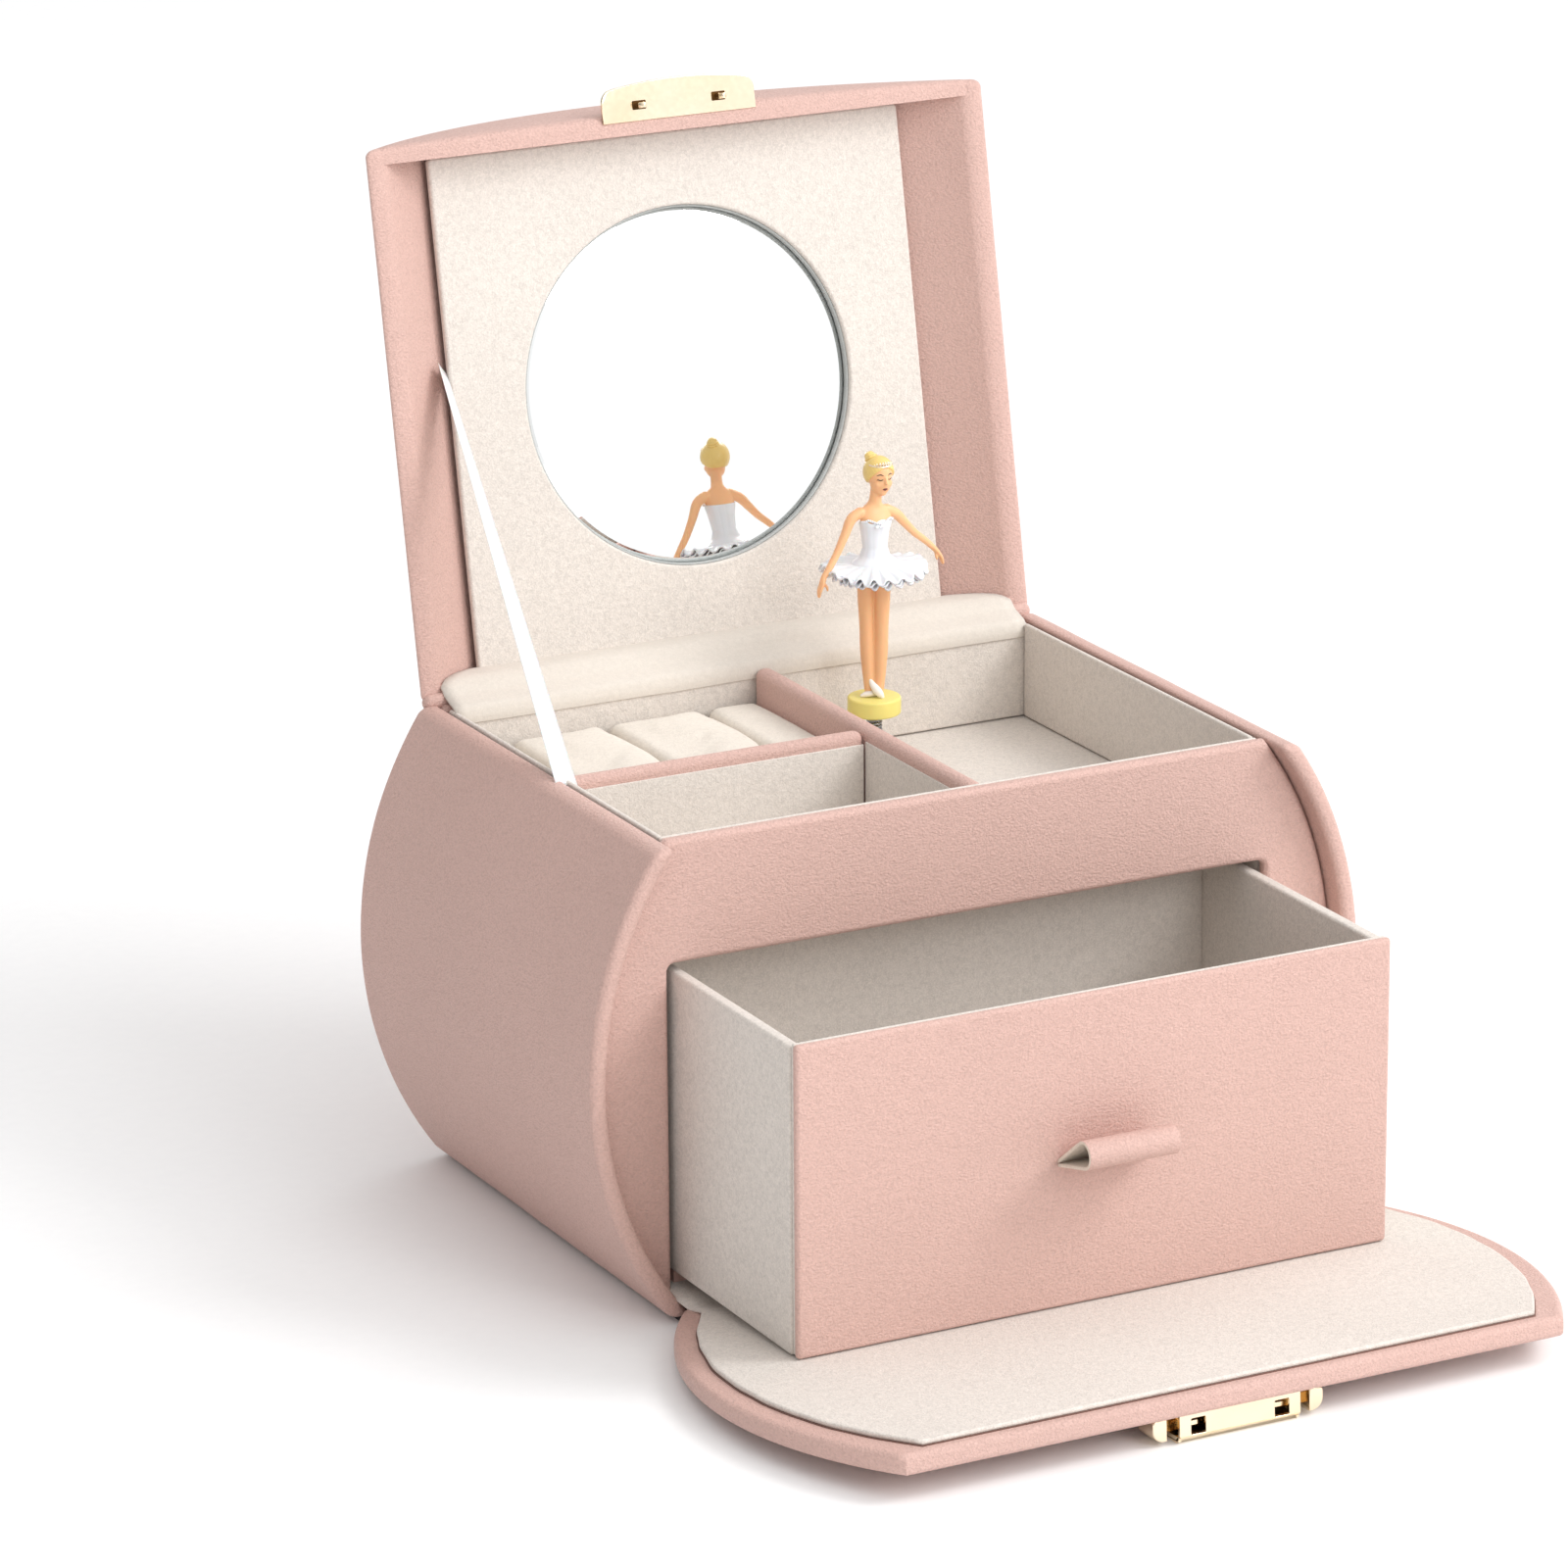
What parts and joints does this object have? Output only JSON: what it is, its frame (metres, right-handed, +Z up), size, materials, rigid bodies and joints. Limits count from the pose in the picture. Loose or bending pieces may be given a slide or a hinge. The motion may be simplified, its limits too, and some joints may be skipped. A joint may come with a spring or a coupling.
{
  "type": "musical jewellery box",
  "caption": "Bowed leatherette jewellery box with a domed mirrored lid, padded tray, drawer behind a drop front and a dancer turned by a wind-up movement.",
  "frame": {"origin": "centre of the base pad's underside, on the surface the box stands on", "axes": "+Z up, -Y towards the front flap, +X to the right seen from the front"},
  "size_m": [0.186, 0.278, 0.2307],
  "materials": {
    "leatherette": "fine pebble grain, soft satin sheen",
    "velvet": "short-pile cream velvet",
    "ivory_velvet": "padded ivory velvet",
    "hinge_cloth": "thin cream cloth",
    "ribbon": "white satin ribbon",
    "base_felt": "black felt pad",
    "card": "plain greyboard",
    "mirror": "silvered, polished",
    "gold": "polished pale gold plate",
    "brass": "turned and lacquered",
    "steel": "plain spring and sheet steel",
    "figure": "painted moulded plastic",
    "figure_base": "yellow moulded plastic"
  },
  "bodies": {
    "case": {"base_pad": "base_felt", "base_board": "leatherette", "left_side_board": "leatherette", "right_side_board": "leatherette", "front_board": "leatherette", "back_board": "leatherette", "bay_wall_left": "velvet", "bay_wall_right": "velvet", "drawer_runner_left": "card", "drawer_runner_right": "card", "bay_partition": "card", "tray_floor": "velvet", "tray_liner_left": "velvet", "tray_liner_right": "velvet", "tray_liner_front": "velvet", "tray_liner_rear": "velvet", "long_divider": "leatherette", "cross_divider": "leatherette", "ring_roll_1": "ivory_velvet", "ring_roll_2": "ivory_velvet", "ring_roll_3": "ivory_velvet", "ring_roll_4": "ivory_velvet", "lid_hinge_cloth": "hinge_cloth", "flap_hinge_cloth": "hinge_cloth", "lid_ribbon": "ribbon", "bedplate": "steel", "bearing_plate_left": "brass", "bearing_plate_right": "brass", "spindle_bracket": "brass", "comb": "steel", "comb_block": "brass", "movement_screw_1": "steel", "movement_screw_2": "steel", "spindle_bush": "brass"},
    "lid": {"lid_roof": "leatherette", "lid_front_wall": "leatherette", "lid_rear_wall": "leatherette", "lid_inner_panel": "velvet", "lid_mirror": "mirror", "lid_catch_plate": "gold"},
    "drawer": {"drawer_front": "leatherette", "drawer_walls": "velvet", "drawer_bottom": "velvet"},
    "pull_tab": {"pull_loop": "leatherette"},
    "flap": {"flap_board": "leatherette", "flap_lining": "velvet", "clasp_housing": "gold", "clasp_spring": "steel"},
    "clasp_left": {"clasp_button_left": "gold"},
    "clasp_right": {"clasp_button_right": "gold"},
    "figure_carrier": {"ballerina_spring": "steel"},
    "figure": {"figure_base": "figure_base", "ballerina_figure": "figure"},
    "spindle": {"spindle": "steel"},
    "barrel": {"spring_barrel": "brass", "mainspring": "steel"},
    "cylinder": {"music_cylinder": "brass"},
    "fly": {"governor_fly": "brass"},
    "key": {"winding_arbor": "steel", "winding_key": "brass"}
  },
  "joints": [
    {"name": "lid_hinge", "type": "hinge", "parent": "case", "child": "lid", "pos_m": [0, 0.0583, 0.1054], "axis": [1, 0, 0], "range_deg": [0, 100.9], "deforming": ["lid_hinge_cloth", "lid_ribbon"]},
    {"name": "flap_hinge", "type": "hinge", "parent": "case", "child": "flap", "pos_m": [0, -0.0622, 0.0026], "axis": [-1, 0, 0], "range_deg": [0, 8.5], "deforming": ["flap_hinge_cloth"]},
    {"name": "drawer_slide", "type": "slide", "parent": "case", "child": "drawer", "axis": [0, 1, 0], "range_m": [0, 0.0557]},
    {"name": "pull_tab_fold", "type": "hinge", "parent": "drawer", "child": "pull_tab", "pos_m": [0, -0.1069, 0.0405], "axis": [-1, 0, 0], "range_deg": [0, 44]},
    {"name": "clasp_left_press", "type": "slide", "parent": "flap", "child": "clasp_left", "axis": [1, 0, 0], "range_m": [0, 0.0022], "stiffness_N_per_m": 300, "deforming": ["clasp_spring"]},
    {"name": "clasp_right_press", "type": "slide", "parent": "flap", "child": "clasp_right", "axis": [-1, 0, 0], "range_m": [0, 0.0022], "stiffness_N_per_m": 300},
    {"name": "figure_tilt", "type": "hinge", "parent": "case", "child": "figure_carrier", "pos_m": [0.024, 0.036, 0.0889], "axis": [1, 0, 0], "range_deg": [0, 75], "deforming": ["ballerina_spring"]},
    {"name": "figure_spin", "type": "hinge", "parent": "figure_carrier", "child": "figure", "pos_m": [0.024, 0.036, 0.0945], "axis": [0, 0, 1], "continuous": true},
    {"name": "spindle_spin", "type": "hinge", "parent": "case", "child": "spindle", "pos_m": [0.024, 0.036, 0.05], "axis": [0, 0, 1], "continuous": true},
    {"name": "barrel_spin", "type": "hinge", "parent": "case", "child": "barrel", "pos_m": [0.024, 0.045, 0.036], "axis": [0, 1, 0], "continuous": true},
    {"name": "cylinder_spin", "type": "hinge", "parent": "case", "child": "cylinder", "pos_m": [0, 0.036, 0.036], "axis": [1, 0, 0], "continuous": true},
    {"name": "fly_spin", "type": "hinge", "parent": "case", "child": "fly", "pos_m": [0, 0.036, 0.0256], "axis": [1, 0, 0], "continuous": true},
    {"name": "key_turn", "type": "hinge", "parent": "case", "child": "key", "pos_m": [0.024, 0.055, 0.036], "axis": [0, 1, 0], "continuous": true}
  ],
  "couplings": [
    {"joint": "flap_hinge", "follows": "drawer_slide", "rad_per_m": 2.6631},
    {"joint": "figure_tilt", "follows": "lid_hinge", "ratio": 0.74331},
    {"joint": "spindle_spin", "follows": "barrel_spin", "ratio": -3},
    {"joint": "figure_spin", "follows": "barrel_spin", "ratio": -3},
    {"joint": "cylinder_spin", "follows": "barrel_spin", "ratio": 3},
    {"joint": "fly_spin", "follows": "barrel_spin", "ratio": -9}
  ]
}
